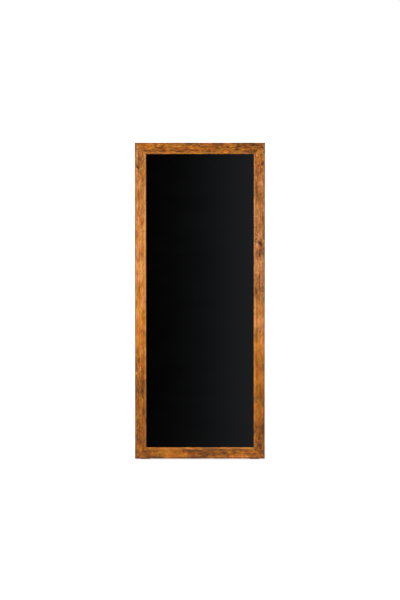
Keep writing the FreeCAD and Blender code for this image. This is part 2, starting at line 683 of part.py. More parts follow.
def make_leaf(label, frame, middle, up, own_knuckles, screws):
    """A hinge leaf: a plate, a barrel along its edge, and gaps for the other leaf's knuckles."""
    body = new_body(label)
    start, end = f"({middle} - dims.hinge_length / 2)", f"({middle} + dims.hinge_length / 2)"
    edge = f"{up} * dims.leaf_width"
    sketch = new_sketch(body, "XZ_Plane", "dims.knuckle_radius")
    draw_outline(sketch, rectangle(start, end, "0", edge))
    pad(body, sketch, "dims.plate", reverse=True)
    edge_z = measure(edge)
    dress(body, "Fillet", "dims.leaf_round", lambda m, d: abs(d.y) > 0.9 and abs(m.z - edge_z) < 0.01)
    sketch = new_sketch(body, "YZ_Plane", start)
    draw_circle(sketch, ("0", "0"), "dims.knuckle_radius")
    pad(body, sketch, "dims.hinge_length")
    sketch = new_sketch(body, "XZ_Plane")
    reach = "(dims.knuckle_radius + dims.knuckle_gap)"
    for number in {0, 1, 2, 3, 4} - set(own_knuckles):
        left = f"({start} + {number} / 5 * dims.hinge_length - dims.knuckle_gap / 2)"
        right = f"({start} + {number + 1} / 5 * dims.hinge_length + dims.knuckle_gap / 2)"
        draw_outline(sketch, rectangle(left, right, f"-{reach}", reach))
    pocket(body, sketch)
    sketch = new_sketch(body, "YZ_Plane")
    draw_circle(sketch, ("0", "0"), "(dims.hinge_pin_radius + dims.pin_play)")
    pocket(body, sketch)
    add_node(label, body, frame, screws)


def make_hinge_pin(label, middle):
    """The hinge pin, with a small head past each end of the barrel."""
    body = new_body(label)
    start, end = f"({middle} - dims.hinge_length / 2)", f"({middle} + dims.hinge_length / 2)"
    head = "(dims.hinge_pin_radius + 0.9)"
    steps = [
        (f"({start} - 1)", start, head),
        (start, end, "dims.hinge_pin_radius"),
        (end, f"({end} + 1)", head),
    ]
    turned(body, ("0", "0"), steps)
    add_node(label, body, "hinge")


# ---- The prop ----


def floor_drop(height, y):
    """Z in the prop's frame of the point at this Y that stands at a height above the floor."""
    return f"(({height} - {AXIS_Z} - {y} * sin({PROP_LEAN})) / cos({PROP_LEAN}))"


def make_leg(label, sign, cutters):
    """A leg, cut level at its foot, with a groove behind the slotted plate."""
    body = new_body(label)
    top, foot = "(-dims.hinge_gap / 2)", "dims.rear_foot_height"
    corners = [(PROP_FRONT, top), (PROP_BACK, top)]
    corners += [(PROP_BACK, floor_drop(foot, PROP_BACK)), (PROP_FRONT, floor_drop(foot, PROP_FRONT))]
    sketch = new_sketch(body, "YZ_Plane", f"{sign} * {LEG_IN}")
    draw_outline(sketch, corners)
    pad(body, sketch, "dims.leg_width", reverse=sign < 0)
    dress(body, "Fillet", "dims.leg_round", lambda m, d: abs(d.z) > 0.9)
    add_node(label, body, "prop", *cutters)


def make_groove_cutters():
    """The grooves that the sliding pins' heads run in, one in each leg, in the prop's frame."""
    half = measure("dims.groove_width / 2")
    spare = measure("dims.slide_pin_head - dims.slide_pin_radius")
    high, low = measure(PIN_OPEN) - spare, measure(PIN_FOLDED) + spare
    deep, face = measure("dims.groove_depth"), measure(LEG_IN)
    grooves = []
    for sign in SIDES.values():
        x = face if sign > 0 else -face - deep
        groove = Part.makeBox(deep, 2 * half, low - high, FreeCAD.Vector(x, -half, -low))
        for end in (high, low):
            centre = FreeCAD.Vector(x, 0, -end)
            groove = groove.fuse(Part.makeCylinder(half, deep, centre, ACROSS))
        groove.rotate(FreeCAD.Vector(0, 0, 0), ACROSS, -measure(TRACK_TILT))
        grooves.append(groove)
    return feature_of("leg_grooves", grooves)


def make_prop_rail(label, drop, height, depth, *cutters):
    """A rail dowelled between the legs, with its long edges eased."""
    body = new_body(label)
    back = f"({PROP_MIDDLE} + {depth} / 2)"
    sketch = new_sketch(body, "XZ_Plane", f"-{back}")
    draw_outline(sketch, rectangle(f"-{LEG_IN}", LEG_IN, f"-({drop} + {height})", f"-{drop}"))
    pad(body, sketch, depth)
    dress(body, "Fillet", "dims.rail_round", lambda m, d: abs(d.x) > 0.9)
    add_node(label, body, "prop", *cutters)


def make_rear_foot(label, sign, screws):
    """A rubber pad under a leg, level with the floor and as round at its corners as the leg."""
    body = new_body(label)
    corners = [(PROP_FRONT, floor_drop("dims.rear_foot_height", PROP_FRONT))]
    corners.append((PROP_BACK, floor_drop("dims.rear_foot_height", PROP_BACK)))
    corners += [(PROP_BACK, floor_drop("0", PROP_BACK)), (PROP_FRONT, floor_drop("0", PROP_FRONT))]
    sketch = new_sketch(body, "YZ_Plane", f"{sign} * {LEG_IN}")
    draw_outline(sketch, corners)
    pad(body, sketch, "dims.leg_width", reverse=sign < 0)
    dress(body, "Fillet", "dims.leg_round", lambda m, d: abs(d.z) > 0.9)
    add_node(label, body, "prop", screws)


def make_track_plate(label, sign, screws):
    """The slotted steel plate that a stay's pin slides in."""
    body = new_body(label)
    half, slot = "(dims.track_width / 2)", "(dims.slide_pin_radius + dims.slot_play)"
    high, low = f"-({PIN_OPEN} - dims.track_end)", f"-({PIN_FOLDED} + dims.track_end)"
    start = f"{sign} * {TRACK_IN}"
    sketch = new_sketch(body, "YZ_Plane", start)
    draw_outline(sketch, rectangle(f"-{half}", half, low, high))
    pad(body, sketch, "dims.track_plate", reverse=sign < 0)
    dress(body, "Fillet", "dims.leaf_round", lambda m, d: abs(d.x) > 0.9)
    sketch = new_sketch(body, "YZ_Plane")
    draw_outline(sketch, rectangle(f"-{slot}", slot, f"-{PIN_FOLDED}", f"-{PIN_OPEN}"))
    pocket(body, sketch)
    for place in (PIN_OPEN, PIN_FOLDED):
        sketch = new_sketch(body, "YZ_Plane")
        draw_circle(sketch, ("0", f"-{place}"), slot)
        pocket(body, sketch)
    add_node(label, body, "track", screws)


# ---- The stays ----


def make_stay_bar(label, sign):
    """A flat steel bar with round ends and a hole at each."""
    body = new_body(label)
    half = "(dims.stay_width / 2)"
    start = STAY_IN if sign > 0 else f"-{STAY_OUT}"
    sketch = new_sketch(body, "YZ_Plane", start)
    draw_outline(sketch, rectangle(f"-{half}", half, f"-{STAY_REACH}", "0"))
    pad(body, sketch, "dims.stay_thickness")
    for place in ("0", f"-{STAY_REACH}"):
        sketch = new_sketch(body, "YZ_Plane", start)
        draw_circle(sketch, ("0", place), half)
        pad(body, sketch, "dims.stay_thickness")
    for place, radius in (
        ("0", "(dims.rivet_radius + dims.pin_play)"),
        (f"-{STAY_REACH}", "(dims.slide_pin_radius + 0.02)"),
    ):
        sketch = new_sketch(body, "YZ_Plane")
        draw_circle(sketch, ("0", place), radius)
        pocket(body, sketch)
    add_node(label, body, "stay")


def make_slide_pin(label, sign):
    """The pin at a stay's free end, headed behind the slotted plate."""
    body = new_body(label)
    inner = f"({LEG_IN} + 0.3)"
    steps = [
        (f"({STAY_IN} - dims.rivet_cap)", STAY_IN, "dims.slide_pin_head"),
        (STAY_IN, inner, "dims.slide_pin_radius"),
        (inner, f"({inner} + dims.rivet_cap)", "dims.slide_pin_head"),
    ]
    turned(body, ("0", f"-{STAY_REACH}"), mirrored(steps, sign))
    add_node(label, body, "stay")


def make_washer(label, sign):
    """A nylon washer between a stay bar and the slotted plate."""
    body = new_body(label)
    steps = [(f"({STAY_OUT} + 0.1)", f"({STAY_OUT} + 0.1 + dims.washer_thickness)", "dims.washer_radius")]
    turned(body, ("0", f"-{STAY_REACH}"), mirrored(steps, sign))
    sketch = new_sketch(body, "YZ_Plane")
    draw_circle(sketch, ("0", f"-{STAY_REACH}"), "(dims.slide_pin_radius + dims.pin_play)")
    pocket(body, sketch)
    add_node(label, body, "stay")


# ---- Assembly ----


def make_board():
    brace_holes = make_brace_screws()
    rail_holes = make_hinge_rail_screws()
    bracket_holes = make_bracket_screws()
    pin_holes = make_bead_pins()
    leaf_holes = make_leaf_screws("upper_leaf_screws", "hinge", 1)
    leaf_cutter = leaf_holes.Shape.copy()
    leaf_cutter.translate(FreeCAD.Vector(0, measure(HINGE_IN), measure(HINGE_UP)))
    leaf_holes_in_rail = feature_of("upper_leaf_holes_in_rail", [leaf_cutter])
    make_frame_rail("bottom_rail", 1, "0", (brace_holes, pin_holes))
    make_frame_rail("top_rail", -1, "dims.board_height", (brace_holes, pin_holes))
    for side, sign in SIDES.items():
        cutters = (brace_holes, rail_holes, bracket_holes, pin_holes)
        make_stile(f"{side}_stile", sign, cutters)
        make_bracket(f"{side}_stay_bracket", sign, bracket_holes)
        make_rivet(f"{side}_stay_rivet", sign)
        make_front_foot(f"{side}_front_foot", sign)
        middle = f"({sign} * dims.hinge_place)"
        make_leaf(f"{side}_hinge_upper_leaf", "hinge", middle, 1, (0, 2, 4), leaf_holes)
        make_hinge_pin(f"{side}_hinge_pin", middle)
    make_splines()
    make_sheet_of_panel("writing_surface", "dims.lip_depth", "dims.laminate")
    make_sheet_of_panel("panel_core", "(dims.lip_depth + dims.laminate)", "dims.core_depth")
    backing = "(dims.lip_depth + dims.laminate + dims.core_depth)"
    make_sheet_of_panel("backing_sheet", backing, "dims.laminate")
    make_beads(pin_holes)
    for corner, sign, up, edge in corner_points():
        make_brace(f"{corner}_brace", sign, up, str(edge), brace_holes)
    make_hinge_rail((rail_holes, leaf_holes_in_rail))


def make_prop():
    dowel_holes = make_dowels()
    leaf_holes = make_leaf_screws("lower_leaf_screws", "prop", -1)
    foot_holes = make_rear_foot_screws()
    track_holes = make_track_screws()
    track_cutter = track_holes.Shape.copy()
    track_cutter.rotate(FreeCAD.Vector(0, 0, 0), ACROSS, -measure(TRACK_TILT))
    track_holes_in_leg = feature_of("track_holes_in_leg", [track_cutter])
    grooves = make_groove_cutters()
    for side, sign in SIDES.items():
        make_leg(f"{side}_leg", sign, (dowel_holes, foot_holes, track_holes_in_leg, grooves))
        make_rear_foot(f"{side}_rear_foot", sign, foot_holes)
        make_track_plate(f"{side}_track_plate", sign, track_holes)
        middle = f"({sign} * dims.hinge_place)"
        make_leaf(f"{side}_hinge_lower_leaf", "prop", middle, -1, (1, 3), leaf_holes)
    gap = "(dims.hinge_gap / 2)"
    make_prop_rail("prop_top_rail", gap, "dims.top_rail_height", "dims.prop_depth", dowel_holes, leaf_holes)
    drop = "dims.cross_rail_drop"
    make_prop_rail("prop_cross_rail", drop, "dims.cross_rail_height", "dims.cross_rail_depth", dowel_holes)


def make_stays():
    for side, sign in SIDES.items():
        make_stay_bar(f"{side}_stay_bar", sign)
        make_slide_pin(f"{side}_slide_pin", sign)
        make_washer(f"{side}_washer", sign)


def check_document():
    for item in doc.Objects:
        if "Invalid" in item.State or "Error" in item.State:
            raise RuntimeError(f"{item.Label} failed: {item.State}")
    for item in nodes:
        if item.Shape.isNull() or not item.Shape.isValid() or not item.Shape.Solids:
            raise RuntimeError(f"{item.Label} has no valid solid")


def export_nodes():
    os.makedirs("parts", exist_ok=True)
    for item in nodes:
        item.Shape.exportStep(f"parts/{item.Label}.step")
        print(f"{item.Label}: {len(item.Shape.Solids)} solids, {item.Shape.Volume / 1000:.2f} cm3")


fill_sheet()
make_board()
make_prop()
make_stays()
doc.recompute()
check_document()
export_nodes()
print(f"{len(nodes)} nodes")
for name in ("BOARD_Y", "BOARD_Z", "AXIS_Y", "AXIS_Z", "PIVOT_Y", "PIVOT_Z", "PIN_OPEN", "PIN_FOLDED"):
    print(name, round(measure(globals()[name]), 4))
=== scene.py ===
# %% [markdown]
# # A framed menu chalkboard on a folding prop
#
# This lesson dresses a finished CAD model. The CAD gives every piece its size and place, and this
# script gives the pieces their surfaces: stained pine with knots and worn edges, a satin black
# writing panel, plated steel and rubber. Four pieces are rebuilt here, the members of the frame,
# because hand-worked wood is never as straight and sharp as a drawing.
#
# The first cell loads the CAD as a fixed frame. Everything is in metres, +Z is up, and a reader of
# the board stands on the -Y side.

# %% Load the frame
import json
import math

import bpy
import numpy as np
from mathutils import Matrix, Vector


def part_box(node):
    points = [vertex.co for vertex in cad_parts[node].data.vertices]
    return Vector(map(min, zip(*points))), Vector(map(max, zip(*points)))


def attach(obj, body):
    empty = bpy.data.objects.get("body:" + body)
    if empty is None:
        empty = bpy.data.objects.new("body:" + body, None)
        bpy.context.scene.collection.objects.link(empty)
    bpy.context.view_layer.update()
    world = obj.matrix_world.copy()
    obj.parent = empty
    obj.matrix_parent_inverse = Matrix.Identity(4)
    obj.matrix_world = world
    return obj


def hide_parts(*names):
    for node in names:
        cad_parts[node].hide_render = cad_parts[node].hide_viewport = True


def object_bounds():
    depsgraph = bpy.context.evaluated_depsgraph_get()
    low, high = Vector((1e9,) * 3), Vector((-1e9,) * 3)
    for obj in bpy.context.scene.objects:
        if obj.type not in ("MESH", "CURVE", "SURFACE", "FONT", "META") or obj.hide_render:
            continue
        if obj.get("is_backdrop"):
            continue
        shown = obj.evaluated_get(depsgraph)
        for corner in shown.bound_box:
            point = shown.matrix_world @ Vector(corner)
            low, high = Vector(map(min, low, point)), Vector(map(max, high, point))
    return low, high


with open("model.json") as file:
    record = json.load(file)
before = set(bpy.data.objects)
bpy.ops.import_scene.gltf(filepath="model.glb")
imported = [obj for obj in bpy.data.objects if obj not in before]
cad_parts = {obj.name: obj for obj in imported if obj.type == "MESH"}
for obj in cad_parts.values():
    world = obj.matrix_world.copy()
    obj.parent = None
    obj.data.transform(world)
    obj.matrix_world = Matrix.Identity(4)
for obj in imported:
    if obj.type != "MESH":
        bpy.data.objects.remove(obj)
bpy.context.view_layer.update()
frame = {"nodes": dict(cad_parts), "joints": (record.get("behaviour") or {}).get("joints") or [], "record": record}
nodes = frame["nodes"]
joints = {joint["name"]: joint for joint in frame["joints"]}

# %% [markdown]
# ## Where the board stands
#
# The board leans back, so its own directions are not the scene's. It is easiest to work out a piece
# as if the board stood upright at the origin, and then carry it over with one matrix. The board's own
# axes here are X across, Y into the board from its front face, and Z up the board from its bottom
# edge. The matrix is found from the hinge axis, whose place is known in both systems.

# %% The board's own axes
BOARD_WIDTH, BOARD_HEIGHT = 0.560, 1.360
LEAN = math.radians(10)
PROP_LEAN = math.radians(10)
# The hinge axis in the board's axes: on the centre line, behind the hinge rail.
HINGE_ON_BOARD = Vector((0, 0.0454, 1.1945))

turn = Matrix.Rotation(-LEAN, 4, "X")
hinge = Vector(joints["prop_fold"]["pos_m"])
BOARD = Matrix.Translation(hinge - turn @ HINGE_ON_BOARD) @ turn
print("board's bottom edge, mm:", [round(1000 * v, 2) for v in BOARD.translation])

# %% [markdown]
# ## Colours and nodes
#
# A colour picked on a screen is in sRGB, and a shader wants linear light, so one function turns one
# into the other. Another adds a shader node with its settings and links in a single call, which
# keeps the materials below short enough to read. A link is given as the socket that it comes from,
# and anything else is a value.

# %% Two helpers
def colour(code, alpha=1.0):
    """Linear RGBA of a hex colour: each channel is c/12.92 below 0.04045, or ((c+0.055)/1.055)^2.4."""
    parts = np.array([int(code[i:i + 2], 16) for i in (1, 3, 5)]) / 255
    linear = np.where(parts <= 0.04045, parts / 12.92, ((parts + 0.055) / 1.055) ** 2.4)
    return (*linear.tolist(), alpha)


def add(tree, kind, links=None, stops=None, **settings):
    """A new shader node: settings first, then ramp stops of (place, colour), then inputs or links."""
    made = tree.nodes.new("ShaderNode" + kind)
    for key, value in settings.items():
        setattr(made, key, value)
    if stops:
        elements = made.color_ramp.elements
        elements[0].position, elements[1].position = stops[0][0], stops[-1][0]
        elements[0].color, elements[1].color = stops[0][1], stops[-1][1]
        for place, shade in stops[1:-1]:
            elements.new(place).color = shade
    for name, value in (links or {}).items():
        if isinstance(value, bpy.types.NodeSocket):
            tree.links.new(value, made.inputs[name])
        else:
            made.inputs[name].default_value = value
    return made


def new_material(name):
    """An empty material with its shader and output; returns the material, its tree and its shader."""
    material = bpy.data.materials.new(name)
    material.use_nodes = True
    tree = material.node_tree
    tree.nodes.clear()
    shader = add(tree, "BsdfPrincipled")
    add(tree, "OutputMaterial", {"Surface": shader.outputs[0]})
    return material, tree, shader


print("middle grey of a screen in linear light:", round(colour("#808080")[0], 3))

# %% [markdown]
# ## The profile of a frame member
#
# A frame member is planed to one profile along its whole length: eased outer edges, a bevel round
# the opening, and a step at the back that the panel sits in. Here the profile is a closed loop of
# points (a, d), where a is the distance in from the frame's outer edge and d is the depth from the
# front. The corners are arcs, so that they catch the light, and long runs are divided, so that the
# faces can be given a slight wave later.

# %% The profile
def arc(centre, radius, start, stop, steps):
    """Points on a circle: centre + radius * (cos, sin) of angles from start to stop in degrees."""
    angle = np.radians(np.linspace(start, stop, steps))
    return np.stack([centre[0] + radius * np.cos(angle), centre[1] + radius * np.sin(angle)], 1)


def divided(points, step):
    """The closed loop with every side longer than step cut into equal parts no longer than step."""
    parts = []
    for here, there in zip(points, np.roll(points, -1, 0)):
        count = max(1, int(np.ceil(np.linalg.norm(there - here) / step)))
        parts.append(here + (there - here) * np.arange(count)[:, None] / count)
    return np.concatenate(parts)


def member_profile():
    """The loop runs outer edge, front, bevel, lip, rebate, back; millimetres turned to metres."""
    face, depth, lip, rebate, bevel = 48.0, 22.0, 8.0, 38.0, 4.0
    outer_radius, bevel_radius, nick, longest_side = 2.5, 0.9, 0.4, 3.2
    points = np.concatenate([
        arc((outer_radius, outer_radius), outer_radius, 180, 270, 6),
        arc((face - bevel - bevel_radius, bevel_radius), bevel_radius, 270, 315, 4),
        arc((face - bevel_radius, bevel + bevel_radius), bevel_radius, 315, 360, 4),
        [[face, lip - nick], [face - nick, lip]],
        [[rebate, lip]],
        [[rebate, depth - nick], [rebate - nick, depth]],
        arc((outer_radius, depth - outer_radius), outer_radius, 90, 180, 6),
    ])
    return divided(points, longest_side) / 1000


def loop_normals(points):
    """Outward normals of a closed loop that turns anticlockwise: the tangent turned clockwise."""
    tangent = np.roll(points, -1, 0) - np.roll(points, 1, 0)
    normal = np.stack([tangent[:, 1], -tangent[:, 0]], 1)
    return normal / np.linalg.norm(normal, axis=1, keepdims=True)


PROFILE = member_profile()
NORMALS = loop_normals(PROFILE)
print("profile points:", len(PROFILE))

# %% [markdown]
# ## Noise on arrays
#
# The wave of a planed face, the dents in an edge and the patches where stain sank in are all slow,
# irregular changes along the wood. A sum of a few sine waves with unrelated lengths and seeded
# phases gives that, works on whole arrays, and comes out the same each time.

# %% Smooth noise
def ripple(seed, x, y, length, stretch=1.0, layers=5):
    """Sum of sine waves of (x / stretch, y) in turned directions, each 0.6 to 1.6 of length from crest
    to crest, over 1.6 times the square root of their number: mostly between -1 and 1."""
    random = np.random.default_rng(seed)
    total = np.zeros(np.broadcast(x, y).shape)
    for _ in range(layers):
        angle, phase = random.uniform(0, 2 * math.pi, 2)
        wave = 2 * math.pi / (length * random.uniform(0.6, 1.6))
        total += np.sin(wave * (np.cos(angle) * x / stretch + np.sin(angle) * y) + phase)
    return total / math.sqrt(layers) / 1.6


def smooth_step(low, high, x):
    """0 up to low, 1 from high on, and 3u^2 - 2u^3 between. It falls instead if low is above high."""
    u = np.clip((x - low) / (high - low), 0, 1)
    return u * u * (3 - 2 * u)


print("smooth_step at each quarter:", smooth_step(0, 1, np.linspace(0, 1, 5)).round(2))

# %% [markdown]
# ## Each plank's own character
#
# No two planks match. Each member has a list of knots, given as a place along the member from its
# middle, a distance in from the outer edge and a radius, in millimetres, and a slant in degrees.
# Stains are soft spots where the wood drank more or less: place, distance in, half length and half
# width in millimetres, and how much paler they are, or darker if the last number is negative.
# Each has a list of how pale the stain came out, from one end to the other at even steps: 0 is
# darkest and 1 is palest. A second list says in the same way where the wax has gone dusty and
# hides some of the orange, and a third how strong the flecks are, because a plank has calm stretches
# and lively ones. Blots says how unevenly the stain dried.

# %% The planks
PLANKS = {
    "left_stile": {
        "knots": [(574, 13, 4, -30), (-391, 33, 4, -25), (-610, 24, 3, 10)],
        "stains": [(609, 25, 30, 10, -0.07), (475, 20, 60, 14, -0.06), (323, 22, 60, 15, 0.05),
                   (200, 33, 10, 5, -0.18), (-85, 22, 50, 12, 0.04), (-280, 8, 25, 8, -0.15),
                   (-312, 5, 12, 5, 0.25), (-375, 22, 22, 16, -0.20), (-411, 22, 10, 6, 0.12),
                   (-441, 30, 20, 9, 0.25)],
        "pale": [0.52, 0.48, 0.42, 0.44, 0.60, 0.80, 0.81, 0.84, 0.88, 0.78, 0.87, 0.67, 0.71, 0.59],
        "dusty": [0.33, 0.40, 0.52, 0.57, 0.47, 0.47, 0.55, 0.60, 0.65, 0.67, 0.79, 0.81, 0.80, 0.90],
        "lively": [1.3, 1.0, 1.1, 1.6, 1.1, 0.6, 0.6, 0.5, 0.8, 0.9, 0.9, 1.0, 1.5, 1.4],
        "blots": 0.03,
        "seed": 11,
    },
    "right_stile": {
        "knots": [(247, 21, 6, 40), (-132, 21, 2, 0), (-622, 23, 5, -15), (590, 12, 4, -20)],
        "stains": [(656, 12, 14, 10, -0.15), (628, 27, 30, 10, 0.12), (553, 15, 25, 12, -0.12),
                   (497, 14, 35, 12, 0.14), (431, 24, 40, 18, -0.06), (243, 8, 12, 5, 0.30),
                   (238, 35, 12, 6, 0.25), (213, 23, 24, 10, -0.34), (152, 25, 35, 16, 0.08),
                   (100, 22, 30, 12, -0.10), (-540, 13, 20, 6, -0.15), (-594, 36, 25, 7, 0.12)],
        "pale": [0.36, 0.37, 0.50, 0.60, 0.68, 0.80, 0.74, 0.56, 0.60, 0.54, 0.74, 0.56, 0.58, 0.58],
        "dusty": [0.57, 0.43, 0.33, 0.37, 0.47, 0.60, 0.73, 0.97, 1.0, 0.93, 0.93, 0.87, 0.73, 0.60],
        "lively": [1.5, 1.5, 0.8, 0.5, 0.4, 0.4, 0.6, 0.9, 1.1, 1.6, 1.0, 0.9, 1.3, 1.6],
        "blots": 0.05,
        "seed": 23,
    },
    "top_rail": {
        "knots": [(120, 19, 3, 10), (-60, 30, 2, 0)],
        "stains": [(-150, 15, 40, 10, -0.08), (-75, 37, 20, 8, -0.10), (-10, 37, 45, 10, 0.12),
                   (71, 12, 20, 8, -0.10), (102, 38, 40, 8, 0.14), (225, 8, 50, 7, -0.12)],
        "pale": [0.58, 0.53, 0.53, 0.57, 0.55, 0.57, 0.42, 0.39],
        "dusty": [0.40, 0.23, 0.20, 0.20, 0.13, 0.13, 0.07, 0.13],
        "lively": [1.1, 1.4, 1.2, 1.5, 1.5, 1.4, 1.4, 1.3],
        "blots": 0.13,
        "seed": 37,
    },
    "bottom_rail": {
        "knots": [(105, 24, 4, -10), (30, 16, 3, 5)],
        "stains": [(-92, 28, 45, 12, 0.17), (-56, 13, 60, 8, 0.15), (-164, 26, 60, 10, 0.06),
                   (-39, 34, 20, 9, -0.15), (6, 20, 35, 12, -0.10), (76, 27, 20, 9, -0.12)],
        "pale": [0.41, 0.41, 0.60, 0.45, 0.31, 0.58, 0.49, 0.42],
        "dusty": [0.20, 0.10, 0.17, 0.11, 0.23, 0.40, 0.47, 0.27],
        "lively": [1.2, 1.0, 0.9, 1.3, 1.7, 1.5, 1.3, 1.5],
        "blots": 0.13,
        "seed": 41,
    },
}
print("knots to a plank:", {side: len(plank["knots"]) for side, plank in PLANKS.items()})

# %% [markdown]
# ## The mesh of a member
#
# The profile is carried along a straight path. The mitre needs no cutting: a point of the profile
# that lies a further in from the outer edge simply travels a less far at each end, so the ends come
# out at 45 degrees. The grid is then moved inwards a little, never outwards, by three things: a slow
# wave left by hand planing, dents along the edges, and a shallow cup round each knot.

# %% The grid of a member
STEP = 0.004
# How deep a planed wave, a dent and the cup round a knot are, in metres.
WAVE_DEPTH, DENT_DEPTH, CUP_DEPTH = 0.00012, 0.0004, 0.00025
# The last stretch before a mitre stays true, so that the joint closes.
TRUE_END = 0.012
# Where hands rub: the outer front edge, the bevel's two edges and the outer back edge, as (a, d).
RUBBED = ((0.0006, 0.0006), (0.0441, 0.0002), (0.0478, 0.0041), (0.0006, 0.0214))


def stations(length):
    """How many times the profile is repeated along a member."""
    return int(length / STEP) + 1


def edge_share(a, d):
    """1 within 0.9 mm of a rubbed edge, falling to 0 at 2.4 mm."""
    near = np.min([np.hypot(a - x, d - y) for x, y in RUBBED], axis=0)
    return 1 - smooth_step(0.0009, 0.0024, near)


def member_grid(half, plank):
    """Arrays over (station, profile point): along = s * (half - a), and a and d moved inwards along
    the normal by a wave + dents + cups. The wave is 50 mm long, and 2.5 times that along the wood. A
    dent is where ripples of 18 and 50 mm add up to more than 0.75. A cup is a ring, deepest 1.1 knot
    radii from the knot's middle."""
    share = np.linspace(-1, 1, stations(2 * half))[:, None]
    a, d = PROFILE[:, 0][None, :], PROFILE[:, 1][None, :]
    along = share * (half - a)
    seed = plank["seed"]
    wave = WAVE_DEPTH * (1 + ripple(seed, along, a + d, 0.05, 2.5))
    bruise = ripple(seed + 1, along, d * 9, 0.018) + ripple(seed + 2, along, d * 5, 0.05)
    dents = DENT_DEPTH * smooth_step(0.75, 1.9, bruise) * edge_share(a, d)
    cups = np.zeros_like(along)
    front = smooth_step(0.0008, 0.0, d)
    for place, inward, radius in np.array(plank["knots"])[:, :3] / 1000:
        reach = np.hypot(along - place, a - inward) / radius
        cups += CUP_DEPTH * np.exp(-((reach - 1.1) / 0.35) ** 2) * front
    calm = smooth_step(0.0, TRUE_END, (half - a) - np.abs(along))
    inward = (wave + dents + cups) * calm
    return along, a - NORMALS[:, 0] * inward, d - NORMALS[:, 1] * inward


print("stations on a stile:", stations(BOARD_HEIGHT), "and on a rail:", stations(BOARD_WIDTH))

# %% [markdown]
# Each vertex also stores what the wood shader needs. Grain is the vertex's place in the plank, bent
# so that the fibres flow round the knots. Knot is the distance to the nearest knot in knot radii.
# Pale, dusty and lively come from the lists, and wear is 1 on an edge that hands rub.
#
# Paleness is the list's value, plus the stains and the blots. Three narrow places differ from it: the
# stain gathered at the mitres, which are darker; the outer rim is darker with painted shade, as if its
# rounded edge were turned from the light; and the bevel is paler with a painted highlight, as if it
# caught the light.

# %% What each vertex stores
# Past this many knot radii nothing of a knot shows.
KNOT_REACH = 4.0
# Every plank starts at its own place in the wood, this many metres times its seed along the grain.
PLANK_SHIFT = 0.37
# What each place adds to the paleness. On the rim it is painted shade, and on the bevel a painted highlight.
PATCH_TONE, SEAM_TONE, RIM_PAINTED_SHADE, BEVEL_PAINTED_HIGHLIGHT = 0.05, -0.08, -0.3, 0.16


def round_the_knots(along, a, plank):
    """The distance across the grain, pushed aside by each knot, and the distance to the nearest knot.
    A knot pushes by 1.3 radii * tanh(distance across / radius), fading as a bell curve 2.6 radii wide
    along the grain and 3.2 across it. Knots are ragged ovals, 1.8 times as long as wide."""
    bent, nearest = a, np.full(along.shape, KNOT_REACH)
    for place, inward, radius, slant in plank["knots"]:
        dx, da, radius = along - place / 1000, a - inward / 1000, radius / 1000
        push = 1.3 * radius * np.tanh(da / radius)
        bent = bent - push * np.exp(-(dx / (2.6 * radius)) ** 2 - (da / (3.2 * radius)) ** 2)
        turned = (dx + 1j * da) * np.exp(-1j * math.radians(slant))
        ragged = 1 + 0.3 * ripple(plank["seed"] + 9, dx, da, 2 * radius)
        nearest = np.minimum(nearest, np.hypot(turned.real / 1.8, turned.imag) / radius * ragged)
    return bent, nearest


def member_attributes(along, a, d, half, plank):
    """The fields that the shader reads, one value or vector for each vertex of the grid. Patches are
    60 mm across and blots 24 mm, both drawn out along the grain, and a stain is a bell curve round its
    place. The seam is the last 3 mm before a mitre, fading from 0.6 mm. The rim, which carries painted
    shade, is the outer 6.5 mm, fading from 1.5 mm. The bevel, which carries a painted highlight, starts
    43 mm in from the outer edge and is under 6 mm deep."""
    bent, nearest = round_the_knots(along, a, plank)
    share = np.clip(along / half, -1, 1)
    lists = {}
    for key in ("pale", "dusty", "lively"):
        lists[key] = np.interp(share, np.linspace(-1, 1, len(plank[key])), plank[key])
    patches = ripple(plank["seed"] + 5, along, a + d, 0.06, 2.2)
    blots = plank["blots"] * ripple(plank["seed"] + 6, along, a + d, 0.024, 1.8)
    stains = np.zeros_like(along)
    for *sizes, change in plank["stains"]:
        place, inward, length, breadth = np.array(sizes) / 1000
        stains += change * np.exp(-((along - place) / length) ** 2 - ((a - inward) / breadth) ** 2)
    seam = smooth_step(0.0030, 0.0006, (half - a) - np.abs(along))
    # Painted shade: the outer 6.5 mm of the front is darkened, as if the rounded edge were turned from the light.
    rim = smooth_step(0.0065, 0.0015, a)
    # Painted highlight: the bevel is made paler, as if it caught the light.
    bevel = smooth_step(0.0430, 0.0448, a) * smooth_step(0.006, 0.005, d)
    return {
        "grain": np.stack([along + plank["seed"] * PLANK_SHIFT, bent, d], -1),
        "knot": nearest,
        "pale": (lists["pale"] + stains + blots + PATCH_TONE * patches + SEAM_TONE * seam
                 + RIM_PAINTED_SHADE * rim + BEVEL_PAINTED_HIGHLIGHT * bevel),
        "dusty": np.clip(lists["dusty"] + 0.15 * patches, 0, 1),
        "lively": lists["lively"],
        "wear": edge_share(a, d),
    }


print("planks start at, m along the grain:",
      {side: round(plank["seed"] * PLANK_SHIFT, 2) for side, plank in PLANKS.items()})

# %% [markdown]
# Turning the grid into a mesh is the same for all four members. Neighbouring stations and
# neighbouring profile points make four-sided faces, and one many-sided face closes each end. The
# member is then laid on its side of the frame, in the board's own axes, and carried to the scene. If
# the faces point inwards, which a negative volume shows, their order is reversed.

# %% From grid to mesh
def lay(side, along, a, d):
    """Board axes of a grid point: along the side, a in from its outer edge, d deep from the front."""
    if side == "left_stile":
        return np.stack([a - BOARD_WIDTH / 2, d, BOARD_HEIGHT / 2 + along], -1)
    if side == "right_stile":
        return np.stack([BOARD_WIDTH / 2 - a, d, BOARD_HEIGHT / 2 + along], -1)
    if side == "top_rail":
        return np.stack([along, d, BOARD_HEIGHT - a], -1)
    return np.stack([along, d, a], -1)


